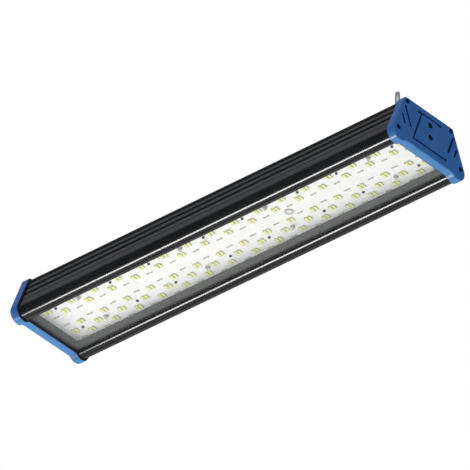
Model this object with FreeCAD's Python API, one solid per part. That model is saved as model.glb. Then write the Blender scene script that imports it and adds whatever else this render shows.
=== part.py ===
import FreeCAD, Part
import math
import os

from FreeCAD import Vector

# Linear high bay light, millimetres: X along the lamp, Y across it, Z up, Z = 0 under the cap lobes

# Section of the end caps; the extrusion follows it at a distance
face_length = 600.0           # between the flat outer faces of the two caps
cap_height = 68.5             # lobe bottoms to cap top
cap_top_width = 88.8          # across the sharp top corners
flank_angle = 22.75           # lean of the flanks from the vertical, degrees
lobe_radius = 13.0
cap_top_radius = 4.5
cap_lower_edge = 4.5          # straight lower edge above the lobe bottoms
cap_lower_radius = 3.0        # hollow where a lobe runs into the lower edge
cap_depth = 11.0
cap_edge_radius = 1.8
cap_pocket_depth = 6.5
cap_proud = 2.2               # cap edge outside the extrusion, all round

# Outer face of a cap
panel_rise = 1.5              # raised bracket panel
panel_top_width = 28.4
panel_bottom_width = 58.6
panel_bottom = 15.6
panel_edge_radius = 0.5
moat_width = 1.9              # fine groove round the panel
moat_depth = 3.2
top_slot_drop = 10.0          # recess over the panel, below the cap top
top_slot_length = 43.5
top_slot_width = 3.4
side_slot_drops = (14.8, 29.2)         # upper ends of the slanted recesses, below the cap top
side_slot_inset = 5.8         # upper ends from the flank
side_slot_foot = 29.0
side_slot_lean = 21.0         # from the vertical, degrees
side_slot_width = 3.0
slot_depth = 3.2
bracket_hole_diameter = 6.0
bracket_hole_spacing = 17.5
bracket_hole_drop = 20.1      # upper hole below the cap top
bracket_hole_depth = 9.0
bracket_insert_diameter = 7.8          # metal bush in each bracket hole
bracket_boss_wall = 2.6

# Cap screws and their ports in the extrusion
cap_screw_diameter = 4.0
cap_screw_length = 22.0
cap_head_diameter = 6.6
cap_head_height = 2.6
cap_head_sunk = 1.2           # head below the cap face
cap_screw_socket = 3.0
screw_clearance = 0.2         # round a screw in its clearance hole
thread_clearance = 0.05       # round a screw in its tapped hole
tip_gap = 0.3                 # screw and rivet tips short of the far side of the shelf
over_cut = 1.0                # how far a cutting tool reaches past a face
top_screw_inset = 5.65        # from the cap's top edge and flank
low_screw_inset = 7.75        # from the cap's flank
low_screw_height = 16.5

# Gaskets between caps and extrusion
gasket_thickness = 1.0
gasket_margin = 0.4           # back from the edge of the cap

# Extrusion
corner_radius = 4.0
wall_thickness = 4.6
roof_thickness = 3.2
roof_rib_thickness = 5.2      # thick strip that carries the eye and the cable inlet
roof_rib_width = 30.0
shelf_thickness = 3.0
inner_radius = 1.6
port_wall = 7.0               # leg of the filled corner round an upper screw port
lip_wall = 3.0                # channel wall beside the chamber's lower pockets
lip_pocket_floor = 22.0
nose_radius = 1.0

flank_grooves = (7.8, 19.5, 31.7)      # down the flank from the top corner
flank_groove_width = 5.0
flank_groove_floor = 2.4
flank_groove_depth = 2.7
flank_groove_edge = 1.1
flank_line = 43.2                      # fine groove below them
flank_line_width = 1.6
flank_line_depth = 0.7
roof_grooves = (20.5, 31.0)            # from the centre line of the roof
roof_groove_width = 4.0
roof_groove_floor = 2.0
roof_groove_depth = 1.3
groove_floor_radius = 0.6

# LED channel, boards and cover
channel_inset = 8.78          # channel walls inside the lobe centres
board_face = 22.2             # height of the lit side
board_thickness = 1.6
board_side_gap = 0.4
board_end_gap = 1.0
board_joint_gap = 0.3
cover_thickness = 2.5
cover_floor = 8.0             # lower side of the cover in its grooves
cover_bite = 2.6              # how far the cover reaches into each groove
cover_side_gap = 0.5
cover_end_gap = 0.2
seal_thickness = 1.3
seal_gap = 0.2

# LEDs and chip components, in pairs along X
column_pitch = 36.6
column_end_gap = 12.0         # least distance from the last column to the end of the extrusion
pair_pitch = 4.9
led_inner_row = 14.3          # from the centre line
led_outer_inset = 8.5         # from the channel wall
led_offset_inset = 19.0
resistor_inner_row = 9.5
resistor_outer_inset = 2.4
led_width = 3.8
led_length = 7.6
led_height = 1.4
led_rim = 0.35
led_recess = 0.25
resistor_width = 3.4
resistor_length = 1.5
resistor_height = 0.7

# Board screws, push rivets and the wire grommet
board_screw_step = 12.0       # from an offset LED column
board_screw_inset = 19.5      # from the channel wall
board_screw_diameter = 2.0
board_head_diameter = 3.8
board_head_height = 1.6
board_screw_socket = 1.3
rivet_step = 11.5             # from an offset LED column
rivet_inset = 18.8
rivet_flange_diameter = 6.8
rivet_flange_height = 1.0
rivet_post_diameter = 5.2
rivet_post_height = 4.2
rivet_bore = 2.4
rivet_shank_diameter = 3.6
grommet_column = 82.5
grommet_diameter = 12.4
grommet_neck_diameter = 8.0
grommet_bore = 5.6
grommet_flange = 0.9
grommet_dish = 0.4            # closed skin below the flange's rim
grommet_skin = 0.6

# Steel eye on the roof
eye_inset = 37.0              # from the end of the extrusion
eye_turn = 40.0               # direction of the ring's axis from +X, degrees
eye_top = 117.8
eye_outer_diameter = 34.0
eye_wire = 6.0
eye_shank_diameter = 8.0
eye_shank_reach = 10.0        # below the roof strip
eye_collar_diameter = 12.0
eye_collar_height = 5.0
washer_diameter = 17.0
washer_thickness = 1.6
nut_across_flats = 13.0
jam_nut_height = 5.0
lock_nut_height = 6.5
nut_chamfer = 0.8

# Cable inlet on the roof
gland_inset = 37.0            # from the end of the extrusion
gland_across_flats = 22.0
gland_thread_diameter = 16.0
gland_flange_height = 5.0
gland_neck_diameter = 17.0
gland_neck_height = 8.0
gland_wall = 1.6
gland_reach = 6.0             # thread below the roof strip
gland_nut_height = 12.0
gland_dome_height = 5.0
gland_mouth_diameter = 11.0
gland_seal_bore = 8.0
gland_gap = 0.2
gland_locknut_height = 4.0

# Driver on the shelf
driver_length = 220.0
driver_width = 62.0
driver_head_room = 4.3        # under the thick strip of the roof
driver_radius = 2.5
driver_rib_count = 9
driver_rib_width = 3.0
driver_rib_depth = 1.2
driver_plate_thickness = 2.0
driver_tab_length = 14.0
driver_bend_radius = 2.6
driver_outlet_diameter = 9.0
driver_outlet_height = 14.0
driver_screw_diameter = 3.0
driver_screw_length = 8.0
driver_head_diameter = 5.4
driver_head_height = 1.8
driver_screw_socket = 2.0
driver_screw_inset = 5.0
driver_mount_spacing = 40.0

# Terminal block on the shelf
terminal_gap = 69.0           # from the foot of the driver's end plate
terminal_poles = 3
terminal_pitch = 11.0
terminal_depth = 20.0
terminal_height = 17.0
terminal_step_height = 11.0
terminal_step_depth = 5.0
terminal_ear = 8.0
terminal_ear_height = 5.0
terminal_wire_hole = 4.2
terminal_wire_height = 5.5
terminal_screw_diameter = 3.0
terminal_head_diameter = 5.0
terminal_head_height = 1.4
terminal_screw_sunk = 2.0

# Derived levels and places
lean_sin = math.sin(math.radians(flank_angle))
lean_cos = math.cos(math.radians(flank_angle))
lean_tan = math.tan(math.radians(flank_angle))
cap_outer = face_length / 2
cap_inner = cap_outer - cap_depth
housing_end = cap_inner - gasket_thickness
lobe_z = lobe_radius
lobe_y = cap_top_width / 2 + ((cap_height - lobe_z) * lean_sin - lobe_radius) / lean_cos
roof_z = cap_height - cap_proud
strip_z = roof_z - roof_rib_thickness
shelf_low = board_face + board_thickness
shelf_top = shelf_low + shelf_thickness
channel_half = lobe_y - channel_inset
groove_half = channel_half + cover_bite + cover_side_gap
cover_top = cover_floor + cover_thickness
groove_top = cover_top + seal_thickness
top_slot_z = cap_height - top_slot_drop
panel_top = top_slot_z - top_slot_width / 2
bracket_hole_z = cap_height - bracket_hole_drop
bracket_holes = (bracket_hole_z, bracket_hole_z - bracket_hole_spacing)
led_rows = (led_inner_row, channel_half - led_outer_inset)
led_offset_row = channel_half - led_offset_inset
resistor_rows = (resistor_inner_row, channel_half - resistor_outer_inset)
board_screw_row = channel_half - board_screw_inset
rivet_row = channel_half - rivet_inset
column_count = int((housing_end - column_end_gap) / column_pitch + 0.5)
eye_column = housing_end - eye_inset
gland_column = gland_inset - housing_end
driver_bottom = shelf_top
driver_height = strip_z - driver_head_room - driver_bottom
driver_foot = driver_length / 2 + driver_plate_thickness + driver_tab_length
terminal_column = -driver_foot - terminal_gap - terminal_depth / 2
board_grip = board_thickness + shelf_thickness - tip_gap
front = Vector(1, 0, 0)
across = Vector(0, 1, 0)
up = Vector(0, 0, 1)
down = Vector(0, 0, -1)


def section(y, z):
    return Vector(0, y, z)


def flank_y(z, inset):
    # half width of the section at height z, on a line set in from the cap's flank
    return cap_top_width / 2 + (cap_height - z) * lean_tan - inset / lean_cos


def rounded_edges(corners, closed=False):
    # straight edges through (point, radius) corners, each corner rounded by a tangent arc
    count = len(corners)
    stops = []
    for index, (point, radius) in enumerate(corners):
        inner = closed or 0 < index < count - 1
        if radius == 0 or not inner:
            stops.append((point, None, point))
            continue
        back = (corners[index - 1][0] - point).normalize()
        ahead = (corners[(index + 1) % count][0] - point).normalize()
        half = back.getAngle(ahead) / 2
        middle = (back + ahead).normalize()
        reach = radius / math.tan(half)
        crown = point + middle * (radius / math.sin(half) - radius)
        stops.append((point + back * reach, crown, point + ahead * reach))
    edges = []
    for index, (start, crown, end) in enumerate(stops):
        if crown is not None:
            edges.append(Part.Arc(start, crown, end).toShape())
        if index < count - 1 or closed:
            target = stops[(index + 1) % count][0]
            if (target - end).Length > 1e-6:
                edges.append(Part.LineSegment(end, target).toShape())
    return edges


def arc_edge(center, radius, start, end):
    # arc in the section plane from one direction of the centre to another, in degrees from +Y
    points = []
    for angle in (start, (start + end) / 2, end):
        turn = math.radians(angle)
        points.append(center + section(math.cos(turn), math.sin(turn)) * radius)
    return Part.Arc(*points).toShape()


def direction(center, point):
    return math.degrees(math.atan2(point.z - center.z, point.y - center.y))


def both_halves(edges):
    # closed face from the right half of a section
    other = [edge.mirror(Vector(), across) for edge in edges]
    return Part.Face(Part.Wire(Part.__sortEdges__(edges + other)))


def closed_face(corners):
    return Part.Face(Part.Wire(rounded_edges(corners, closed=True)))


def prism(face, start, end):
    # section face extruded along X from start to end
    placed = face.translated(Vector(start, 0, 0))
    return placed.extrude(Vector(end - start, 0, 0))


def rod(diameter, base, axis, length):
    return Part.makeCylinder(diameter / 2, length, base, axis)


def turned(corners):
    # solid turned about Z from (radius, height, rounding) corners of half its outline
    outline = [(Vector(radius, 0, height), rounding) for radius, height, rounding in corners]
    return closed_face(outline).revolve(Vector(), up, 360)


def hexagon(across_flats, height):
    # hexagonal bar on Z = 0
    reach = across_flats / math.sqrt(3)
    corners = []
    for index in range(6):
        turn = math.radians(60 * index)
        corners.append((Vector(reach * math.cos(turn), reach * math.sin(turn), 0), 0))
    return closed_face(corners).extrude(up * height)


def placed(shape, position, axis):
    # shape made about +Z, turned so that +Z points along the axis and moved to the position
    copy = shape.copy()
    copy.Placement = FreeCAD.Placement(position, FreeCAD.Rotation(up, axis))
    return copy


def half_turn(shape):
    # the same piece at the other end of the lamp
    copy = shape.copy()
    copy.rotate(Vector(), up, 180)
    return copy


def cut_all(shape, tools):
    return shape.cut(Part.makeCompound(tools))


def group(solids):
    return Part.makeCompound(solids)


def save(shape, node):
    shape.exportStep("parts/" + node + ".step")


def screw(diameter, length, head_diameter, head_height, socket):
    # pan head screw with a hexagon socket, head on +Z, underside of the head at Z = 0
    slope = head_height * 0.4
    corners = ((0, -length, 0), (diameter / 2, -length, 0), (diameter / 2, 0, 0), (head_diameter / 2, 0, 0),
               (head_diameter / 2, head_height - slope, 0), (head_diameter / 2 - slope, head_height, 0),
               (0, head_height, 0))
    blank = turned(corners)
    recess = hexagon(socket, head_height).translated(up * (head_height * 0.4))
    return blank.cut(recess)


def hex_nut(across_flats, height, bore):
    # nut with chamfered corners, bottom at Z = 0
    reach = across_flats / math.sqrt(3)
    flat = across_flats / 2
    corners = ((bore / 2, 0, 0), (flat, 0, 0), (reach, nut_chamfer, 0),
               (reach, height - nut_chamfer, 0), (flat, height, 0), (bore / 2, height, 0))
    return turned(corners).common(hexagon(across_flats, height))


def lobe_center():
    return section(lobe_y, lobe_z)


def outline_edges(inset, lower_edge, top_radius):
    # right half of the cap's outline, set in all round, from the top centre to the bottom centre
    radius = lobe_radius - inset
    center = lobe_center()
    top = cap_height - inset
    leave = center + section(lean_cos, lean_sin) * radius
    fall = lobe_z - lower_edge + cap_lower_radius
    reach = math.sqrt((radius + cap_lower_radius) ** 2 - fall ** 2)
    hollow = section(lobe_y - reach, lower_edge - cap_lower_radius)
    meet = center + (hollow - center) * (radius / (radius + cap_lower_radius))
    edges = rounded_edges([(section(0, top), 0), (section(flank_y(top, inset), top), top_radius), (leave, 0)])
    edges.append(arc_edge(center, radius, flank_angle, direction(center, meet)))
    edges.append(arc_edge(hollow, cap_lower_radius, direction(hollow, meet), 90))
    edges += rounded_edges([(section(hollow.y, lower_edge), 0), (section(0, lower_edge), 0)])
    return edges


def groove(point_at, place, width, floor, depth, edge_radius):
    # four corners of a longitudinal groove across a wall; point_at gives (along the wall, below it)
    return [(point_at(place - width / 2, 0), edge_radius),
            (point_at(place - floor / 2, depth), groove_floor_radius),
            (point_at(place + floor / 2, depth), groove_floor_radius),
            (point_at(place + width / 2, 0), edge_radius)]


def roof_point(along, below):
    return section(along, roof_z - below)


def flank_point(along, below):
    start = section(flank_y(roof_z, cap_proud), roof_z)
    return start + section(lean_sin, -lean_cos) * along - section(lean_cos, lean_sin) * below


def chamber_face():
    # inner space of the extrusion, which the gaskets and the caps continue
    inset = cap_proud + wall_thickness
    ceiling = roof_z - roof_thickness
    rib = roof_rib_width / 2
    slope = roof_rib_thickness - roof_thickness
    port_low = ceiling - port_wall
    pocket = channel_half + lip_wall
    corners = [(section(0, strip_z), 0),
               (section(rib, strip_z), inner_radius / 2),
               (section(rib + slope, ceiling), inner_radius / 2),
               (section(flank_y(ceiling, inset) - port_wall / 2, ceiling), inner_radius),
               (section(flank_y(port_low, inset), port_low), inner_radius),
               (section(flank_y(lip_pocket_floor, inset), lip_pocket_floor), inner_radius),
               (section(pocket, lip_pocket_floor), inner_radius),
               (section(pocket, shelf_top), inner_radius),
               (section(0, shelf_top), 0)]
    return both_halves(rounded_edges(corners))


def screw_places():
    # cap screws in the section: both upper corners and both lobes
    top = cap_height - top_screw_inset
    places = []
    for side in (-1, 1):
        places.append(section(side * flank_y(top, top_screw_inset), top))
        places.append(section(side * flank_y(low_screw_height, low_screw_inset), low_screw_height))
    return places


def offset_columns():
    return [(index + 0.5) * column_pitch for index in range(column_count)]


def board_screw_places():
    # beside the first, the middle two and the last offset columns of one board
    columns = offset_columns()
    half = column_count // 2
    stops = (columns[0] + board_screw_step, columns[half - 1] - board_screw_step,
             columns[half] + board_screw_step, columns[-1] - board_screw_step)
    return [Vector(x, side * board_screw_row, board_face) for x in stops for side in (-1, 1)]


def rivet_places():
    columns = offset_columns()
    stops = (columns[1] + rivet_step, columns[-2] - rivet_step)
    return [Vector(x, side * rivet_row, board_face) for x in stops for side in (-1, 1)]


def board_holes(screw_hole, rivet_hole, base, length):
    # rods up through one board or the shelf over it
    tools = []
    for diameter, places in ((screw_hole, board_screw_places()), (rivet_hole, rivet_places())):
        for place in places:
            tools.append(rod(diameter, Vector(place.x, place.y, base), up, length))
    return tools


def extrusion_face():
    radius = lobe_radius - cap_proud
    center = lobe_center()
    leave = center + section(lean_cos, lean_sin) * radius
    nose_y = channel_half + nose_radius
    nose_z = lobe_z - math.sqrt((radius - nose_radius) ** 2 - (lobe_y - nose_y) ** 2)
    nose = section(nose_y, nose_z)
    meet = center + (nose - center) * (radius / (radius - nose_radius))

    corners = [(section(0, roof_z), 0)]
    for place in roof_grooves:
        corners += groove(roof_point, place, roof_groove_width, roof_groove_floor,
                          roof_groove_depth, groove_floor_radius)
    corners.append((section(flank_y(roof_z, cap_proud), roof_z), corner_radius))
    for place in flank_grooves:
        corners += groove(flank_point, place, flank_groove_width, flank_groove_floor,
                          flank_groove_depth, flank_groove_edge)
    corners += [(flank_point(flank_line - flank_line_width / 2, 0), 0),
                (flank_point(flank_line, flank_line_depth), 0),
                (flank_point(flank_line + flank_line_width / 2, 0), 0),
                (leave, 0)]
    edges = rounded_edges(corners)
    edges.append(arc_edge(center, radius, flank_angle, direction(center, meet)))
    edges.append(arc_edge(nose, nose_radius, direction(nose, meet), -180))
    edges += rounded_edges([(section(channel_half, nose_z), 0),
                            (section(channel_half, cover_floor), 0),
                            (section(groove_half, cover_floor), 0),
                            (section(groove_half, groove_top), 0),
                            (section(channel_half, groove_top), 0),
                            (section(channel_half, shelf_low), 0),
                            (section(0, shelf_low), 0)])
    return both_halves(edges)


def housing():
    profile = extrusion_face().cut(chamber_face())
    body = prism(profile, -housing_end, housing_end)
    tools = []
    port_diameter = cap_screw_diameter + 2 * thread_clearance
    for place in screw_places():
        base = place - front * housing_end
        tools.append(rod(port_diameter, base, front, 2 * housing_end))
    drill = shelf_low - over_cut
    depth = shelf_thickness + 2 * over_cut
    screw_hole = board_screw_diameter + 2 * thread_clearance
    rivet_hole = rivet_shank_diameter + 2 * screw_clearance
    for shape in board_holes(screw_hole, rivet_hole, drill, depth):
        tools += [shape, half_turn(shape)]
    tools.append(rod(grommet_neck_diameter, Vector(grommet_column, 0, drill), up, depth))
    for place in driver_mount_places() + terminal_mount_places():
        tools.append(rod(driver_screw_diameter + 2 * thread_clearance, place - up * depth, up, 2 * depth))
    low = strip_z - over_cut
    roof = roof_rib_thickness + 2 * over_cut
    tools.append(rod(eye_shank_diameter + 2 * screw_clearance, Vector(eye_column, 0, low), up, roof))
    tools.append(rod(gland_thread_diameter + 2 * screw_clearance, Vector(gland_column, 0, low), up, roof))
    return cut_all(body, tools)


def panel_face(grow):
    # bracket panel on the cap, grown at its sides and foot
    lean = (panel_bottom_width - panel_top_width) / 2 / (panel_top - panel_bottom)
    side = grow * math.sqrt(1 + lean ** 2)
    foot = panel_bottom - grow
    half_top = panel_top_width / 2 + side
    half_bottom = panel_bottom_width / 2 + side + grow * lean
    corners = [(section(0, panel_top), 0), (section(half_top, panel_top), panel_edge_radius),
               (section(half_bottom, foot), panel_edge_radius), (section(0, foot), 0)]
    return both_halves(rounded_edges(corners))


def slot_cut(upper, lower, width):
    # round-ended recess in the outer face of the right cap
    run = (lower - upper).normalize()
    side = run.cross(front) * (width / 2)
    cap = run * (width / 2)
    corners = [(upper - cap + side, width / 2), (upper - cap - side, width / 2),
               (lower + cap - side, width / 2), (lower + cap + side, width / 2)]
    return prism(closed_face(corners), cap_outer - slot_depth, cap_outer + over_cut)


def end_cap():
    body = prism(both_halves(outline_edges(0, cap_lower_edge, cap_top_radius)), cap_inner, cap_outer)
    rim = [edge for edge in body.Edges if edge.BoundBox.XMin > cap_outer - cap_edge_radius]
    body = body.makeFillet(cap_edge_radius, rim)
    tools = [prism(chamber_face(), cap_inner - over_cut, cap_inner + cap_pocket_depth),
             prism(panel_face(moat_width), cap_outer - moat_depth, cap_outer + over_cut)]
    run = (top_slot_length - top_slot_width) / 2
    tools.append(slot_cut(section(-run, top_slot_z), section(run, top_slot_z), top_slot_width))
    for drop in side_slot_drops:
        upper_z = cap_height - drop
        upper_y = flank_y(upper_z, side_slot_inset)
        lower_y = upper_y - (upper_z - side_slot_foot) * math.tan(math.radians(side_slot_lean))
        for side in (-1, 1):
            upper = section(side * upper_y, upper_z)
            lower = section(side * lower_y, side_slot_foot)
            tools.append(slot_cut(upper, lower, side_slot_width))
    for place in screw_places():
        seat = cap_outer - cap_head_sunk - cap_head_height
        head = cap_head_diameter + 2 * screw_clearance
        shank = cap_screw_diameter + 2 * screw_clearance
        tools.append(rod(head, place + front * seat, front, cap_depth))
        tools.append(rod(shank, place + front * (cap_inner - over_cut), front, cap_depth))
    body = cut_all(body, tools)
    added = [prism(panel_face(0), cap_outer - moat_depth - over_cut, cap_outer + panel_rise)]
    for height in bracket_holes:
        boss = bracket_insert_diameter + 2 * bracket_boss_wall
        base = Vector(cap_inner, 0, height)
        added.append(rod(boss, base, front, cap_depth - moat_depth))
    body = body.fuse(added).removeSplitter()
    holes = []
    for height in bracket_holes:
        mouth = Vector(cap_outer + panel_rise - bracket_hole_depth, 0, height)
        holes.append(rod(bracket_insert_diameter, mouth, front, bracket_hole_depth + over_cut))
    return cut_all(body, holes)


def bracket_inserts():
    # bushes flush with the panel
    bore = bracket_hole_diameter / 2
    outer = bracket_insert_diameter / 2
    length = bracket_hole_depth
    blank = turned(((bore, 0, 0), (outer, 0, 0), (outer, length, 0), (bore, length, 0)))
    base = cap_outer + panel_rise - length
    return group([placed(blank, Vector(base, 0, height), front) for height in bracket_holes])


def end_cap_screws():
    length = cap_screw_length
    seat = cap_outer - cap_head_sunk - cap_head_height
    blank = screw(cap_screw_diameter, length, cap_head_diameter, cap_head_height, cap_screw_socket)
    return group([placed(blank, place + front * seat, front) for place in screw_places()])


def end_gasket():
    lower_edge = cap_lower_edge + gasket_margin
    sheet = both_halves(outline_edges(gasket_margin, lower_edge, cap_top_radius)).cut(chamber_face())
    body = prism(sheet, housing_end, cap_inner)
    hole = cap_screw_diameter + 2 * screw_clearance
    tools = []
    for place in screw_places():
        tools.append(rod(hole, place + front * housing_end, front, gasket_thickness))
    return cut_all(body, tools)


def clear_cover():
    half = channel_half + cover_bite
    end = housing_end - cover_end_gap
    return Part.makeBox(2 * end, 2 * half, cover_thickness, Vector(-end, -half, cover_floor))


def cover_seal(side):
    inner = channel_half + seal_gap
    width = groove_half - inner
    end = housing_end - cover_end_gap
    low = inner if side > 0 else -groove_half
    return Part.makeBox(2 * end, width, seal_thickness, Vector(-end, low, cover_top))


def led_board():
    start = board_joint_gap / 2
    length = housing_end - board_end_gap - start
    half = channel_half - board_side_gap
    body = Part.makeBox(length, 2 * half, board_thickness, Vector(start, -half, board_face))
    base = board_face - over_cut
    depth = board_thickness + 2 * over_cut
    screw_hole = board_screw_diameter + 2 * screw_clearance
    rivet_hole = rivet_shank_diameter + 2 * screw_clearance
    return cut_all(body, board_holes(screw_hole, rivet_hole, base, depth))


def led():
    # one package, lit side down, centred on the middle of its foot
    foot = Vector(-led_width / 2, -led_length / 2, -led_height)
    body = Part.makeBox(led_width, led_length, led_height, foot)
    window = Part.makeBox(led_width - 2 * led_rim, led_length - 2 * led_rim, led_recess,
                          foot + Vector(led_rim, led_rim, 0))
    return body.cut(window)


def resistor():
    foot = Vector(-resistor_width / 2, -resistor_length / 2, -resistor_height)
    return Part.makeBox(resistor_width, resistor_length, resistor_height, foot)


def pairs_at(columns, rows):
    # the two places of each pair, on both sides of the middle
    places = []
    for column in columns:
        for row in rows:
            for side in (-1, 1):
                for step in (-0.5, 0.5):
                    places.append(Vector(column + step * pair_pitch, side * row, board_face))
    return places


def full_columns():
    return [index * column_pitch for index in range(column_count)]


def board_leds():
    # the middle pair stands across the joint, one LED on each board
    places = pairs_at(full_columns(), led_rows) + pairs_at(offset_columns(), (led_offset_row,))
    blank = led()
    return group([blank.translated(place) for place in places if place.x > 0])


def board_resistors():
    blank = resistor()
    return group([blank.translated(place) for place in pairs_at(offset_columns(), resistor_rows)])


def board_screws():
    blank = screw(board_screw_diameter, board_grip, board_head_diameter,
                  board_head_height, board_screw_socket)
    return group([placed(blank, place, down) for place in board_screw_places()])


def board_rivets():
    # hollow push rivets: flange on the board, open post below it, shank up through the shelf
    flange = rivet_flange_diameter / 2
    post = rivet_post_diameter / 2
    shank = rivet_shank_diameter / 2
    bore = rivet_bore / 2
    edge = rivet_flange_height / 2
    corners = ((0, -board_grip, 0), (shank, -board_grip, 0), (shank, 0, 0), (flange, 0, 0),
               (flange, edge, 0), (flange - edge, rivet_flange_height, 0), (post, rivet_flange_height, 0),
               (post, rivet_post_height - edge, 0), (post - edge, rivet_post_height, 0),
               (bore, rivet_post_height, 0), (bore, 0, 0), (0, 0, 0))
    blank = turned(corners)
    return group([placed(blank, place, down) for place in rivet_places()])


def wire_grommet():
    # ring on the lit side of the board, closed by a thin skin, with its neck up through board and shelf
    outer = grommet_diameter / 2
    neck = grommet_neck_diameter / 2 - screw_clearance
    bore = grommet_bore / 2
    height = board_thickness + shelf_thickness
    skin = grommet_flange - grommet_dish
    corners = ((bore, -height, 0), (neck, -height, 0), (neck, 0, 0), (outer, 0, 0),
               (outer, grommet_flange, grommet_flange * 0.6), (bore, grommet_flange, grommet_dish * 0.6),
               (bore, skin, 0), (0, skin, 0), (0, skin - grommet_skin, 0), (bore, skin - grommet_skin, 0))
    return placed(turned(corners), Vector(grommet_column, 0, board_face), down)


def eye_bolt():
    ring_radius = (eye_outer_diameter - eye_wire) / 2
    ring_z = eye_top - eye_outer_diameter / 2
    axis = Vector(math.cos(math.radians(eye_turn)), math.sin(math.radians(eye_turn)), 0)
    ring = Part.makeTorus(ring_radius, eye_wire / 2, Vector(0, 0, ring_z), axis)
    foot = strip_z - eye_shank_reach
    neck = ring_z - ring_radius
    collar = neck - eye_wire / 2 - eye_collar_height
    corners = ((0, foot, 0), (eye_shank_diameter / 2, foot, 0), (eye_shank_diameter / 2, collar, 0),
               (eye_collar_diameter / 2, collar, 0.5),
               (eye_collar_diameter / 2, collar + eye_collar_height / 2, 1.0),
               (eye_wire / 2, neck, 0), (0, neck, 0))
    body = turned(corners).fuse(ring)
    return body.translated(Vector(eye_column, 0, 0))


def eye_washer():
    corners = ((eye_shank_diameter / 2 + screw_clearance, 0, 0), (washer_diameter / 2, 0, 0),
               (washer_diameter / 2, washer_thickness, 0.3),
               (eye_shank_diameter / 2 + screw_clearance, washer_thickness, 0))
    return turned(corners).translated(Vector(eye_column, 0, roof_z))


def eye_jam_nut():
    bore = eye_shank_diameter + 2 * thread_clearance
    nut = hex_nut(nut_across_flats, jam_nut_height, bore)
    return nut.translated(Vector(eye_column, 0, roof_z + washer_thickness))


def eye_lock_nut():
    bore = eye_shank_diameter + 2 * thread_clearance
    nut = hex_nut(nut_across_flats, lock_nut_height, bore)
    return nut.translated(Vector(eye_column, 0, strip_z - lock_nut_height))


def gland_body():
    # hexagon flange on the roof, thread down through it, neck up into the nut
    thread = gland_thread_diameter / 2
    neck = gland_neck_diameter / 2
    bore = thread - gland_wall
    foot = -roof_rib_thickness - gland_reach
    rim = gland_flange_height + gland_neck_height
    barrel = turned(((bore, foot, 0), (thread, foot, 0.5), (thread, gland_flange_height / 2, 0),
                     (neck, gland_flange_height / 2, 0), (neck, rim, 0.5), (bore, rim, 0)))
    flange = hex_nut(gland_across_flats, gland_flange_height, 2 * bore)
    return barrel.fuse(flange).removeSplitter().translated(Vector(gland_column, 0, roof_z))


def gland_seal():
    # rubber bush between the neck's rim and the nut's mouth
    seat = gland_flange_height + gland_neck_height
    inner = gland_thread_diameter / 2 - gland_wall - gland_gap
    top = gland_flange_height + gland_nut_height - gland_gap
    bore = gland_seal_bore / 2
    foot = gland_flange_height
    corners = ((bore, foot, 0), (inner, foot, 0), (inner, seat, 0), (inner + gland_wall / 2, seat, 0),
               (inner + gland_wall / 2, top, 0), (bore, top, 0))
    return turned(corners).translated(Vector(gland_column, 0, roof_z))


def gland_nut():
    # six-sided skirt over the neck with a turned dome on it
    neck = gland_neck_diameter / 2 + gland_gap
    mouth = gland_mouth_diameter / 2
    base = gland_flange_height + gland_gap
    top = gland_flange_height + gland_nut_height
    dome = top + gland_dome_height
    flat = gland_across_flats / 2
    skirt = hex_nut(gland_across_flats, top - base, 2 * neck).translated(up * base)
    crown = turned(((neck, top - nut_chamfer, 0), (flat, top - nut_chamfer, 0),
                    (flat, dome, gland_dome_height * 0.7),
                    (mouth, dome, 0.6), (mouth, top, 0), (neck, top, 0)))
    return skirt.fuse(crown).removeSplitter().translated(Vector(gland_column, 0, roof_z))


def gland_locknut():
    bore = gland_thread_diameter + 2 * thread_clearance
    nut = hex_nut(gland_across_flats, gland_locknut_height, bore)
    return nut.translated(Vector(gland_column, 0, strip_z - gland_locknut_height))


def driver_case():
    # closed case with a ribbed top
    half = driver_width / 2
    top = driver_bottom + driver_height
    corners = [(section(0, driver_bottom), 0), (section(half, driver_bottom), driver_radius),
               (section(half, top), driver_radius), (section(0, top), 0)]
    body = prism(both_halves(rounded_edges(corners)), -driver_length / 2, driver_length / 2)
    pitch = (driver_width - 2 * driver_radius) / driver_rib_count
    tools = []
    for index in range(driver_rib_count):
        left = -half + driver_radius + index * pitch + (pitch - driver_rib_width) / 2
        corner = Vector(-driver_length / 2, left, top - driver_rib_depth)
        tools.append(Part.makeBox(driver_length, driver_rib_width, driver_rib_depth, corner))
    hole = driver_screw_diameter + 2 * thread_clearance
    for place in driver_plate_places():
        tools.append(rod(hole, place - front * driver_screw_length, front, driver_screw_length))
        tools.append(rod(hole, half_turn_point(place), front, driver_screw_length))
    return cut_all(body, tools)


def half_turn_point(place):
    return Vector(-place.x, -place.y, place.z)


def driver_plate_places():
    # screws of the right end plate, at the end of the case
    bend = driver_plate_thickness + driver_bend_radius
    low = driver_bottom + bend + driver_head_diameter / 2 + screw_clearance
    high = driver_bottom + driver_height - driver_screw_inset
    half = driver_width / 2 - driver_screw_inset
    places = []
    for y in (-half, half):
        for z in (low, high):
            places.append(Vector(driver_length / 2, y, z))
    return places


def driver_mount_places():
    # screws through the foot of each end plate
    x = driver_foot - driver_tab_length / 2
    places = []
    for side in (-1, 1):
        for y in (-driver_mount_spacing / 2, driver_mount_spacing / 2):
            places.append(Vector(side * x, y, shelf_top))
    return places


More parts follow.
